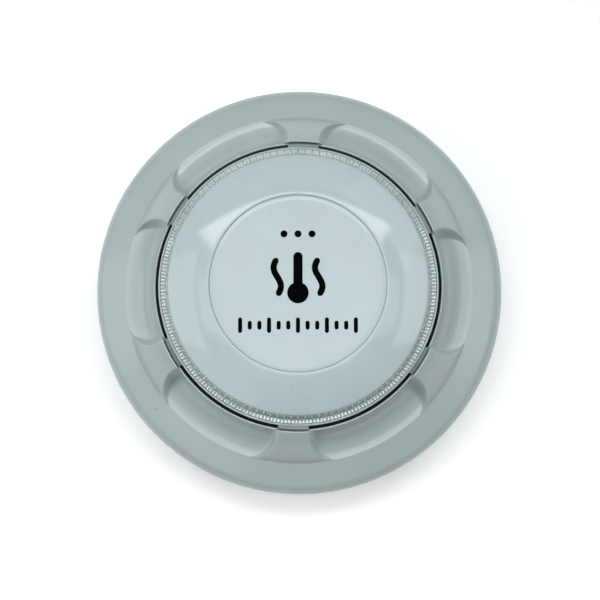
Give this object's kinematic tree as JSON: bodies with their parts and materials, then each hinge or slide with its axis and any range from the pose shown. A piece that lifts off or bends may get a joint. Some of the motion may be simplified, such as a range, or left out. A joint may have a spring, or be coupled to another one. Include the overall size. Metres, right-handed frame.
{
  "type": "ceiling heat detector",
  "caption": "Round white ceiling heat detector: a domed sensing head with raised ribs, air scoops and a clear light ring, twisting onto a fixed mounting base.",
  "frame": {"origin": "centre of the base's back, on the ceiling or wall plane that it is fixed to", "axes": "+Z is the detector's axis, from the mounting plane out to the sensing face; +Y is the top of the reference view, with one rib 2 degrees to its right; +X is to the right"},
  "size_m": [0.115, 0.115, 0.038],
  "materials": {
    "base_white": "fine moulded texture",
    "grommet_rubber": "matt",
    "contact_brass": "satin",
    "plated_steel": "satin",
    "cover_white": "fine moulded texture",
    "label_paper": "satin",
    "board_green": "satin solder resist",
    "lamp_yellow": "gloss",
    "chip_black": "matt",
    "capacitor_can": "satin",
    "ceramic_tan": "matt",
    "bead_epoxy": "gloss",
    "tinned_wire": "bright",
    "chassis_black": "matt",
    "clear_ring": "clear, serrated",
    "housing_white": "gloss",
    "disc_white": "satin gloss"
  },
  "bodies": {
    "base": {"base_plate": "base_white", "cable_grommet": "grommet_rubber", "terminal_contacts": "contact_brass", "clamp_plates": "plated_steel", "terminal_screws": "plated_steel"},
    "head": {"back_cover": "cover_white", "rating_label": "label_paper", "contact_blades": "contact_brass", "head_screws": "plated_steel", "circuit_board": "board_green", "board_screws": "plated_steel", "status_lamps": "lamp_yellow", "microcontroller": "chip_black", "bridge_rectifier": "chip_black", "capacitors": "capacitor_can", "surface_parts": "ceramic_tan", "thermistor": "bead_epoxy", "thermistor_leads": "tinned_wire", "thermistor_holder": "chassis_black", "inner_chassis": "chassis_black", "light_ring": "clear_ring", "dome_cap": "housing_white", "front_disc": "disc_white", "outer_housing": "housing_white"}
  },
  "joints": [
    {"name": "head_twist", "type": "hinge", "parent": "base", "child": "head", "pos_m": [0, 0, 0], "axis": [0, 0, 1], "range_deg": [0, 22]}
  ]
}
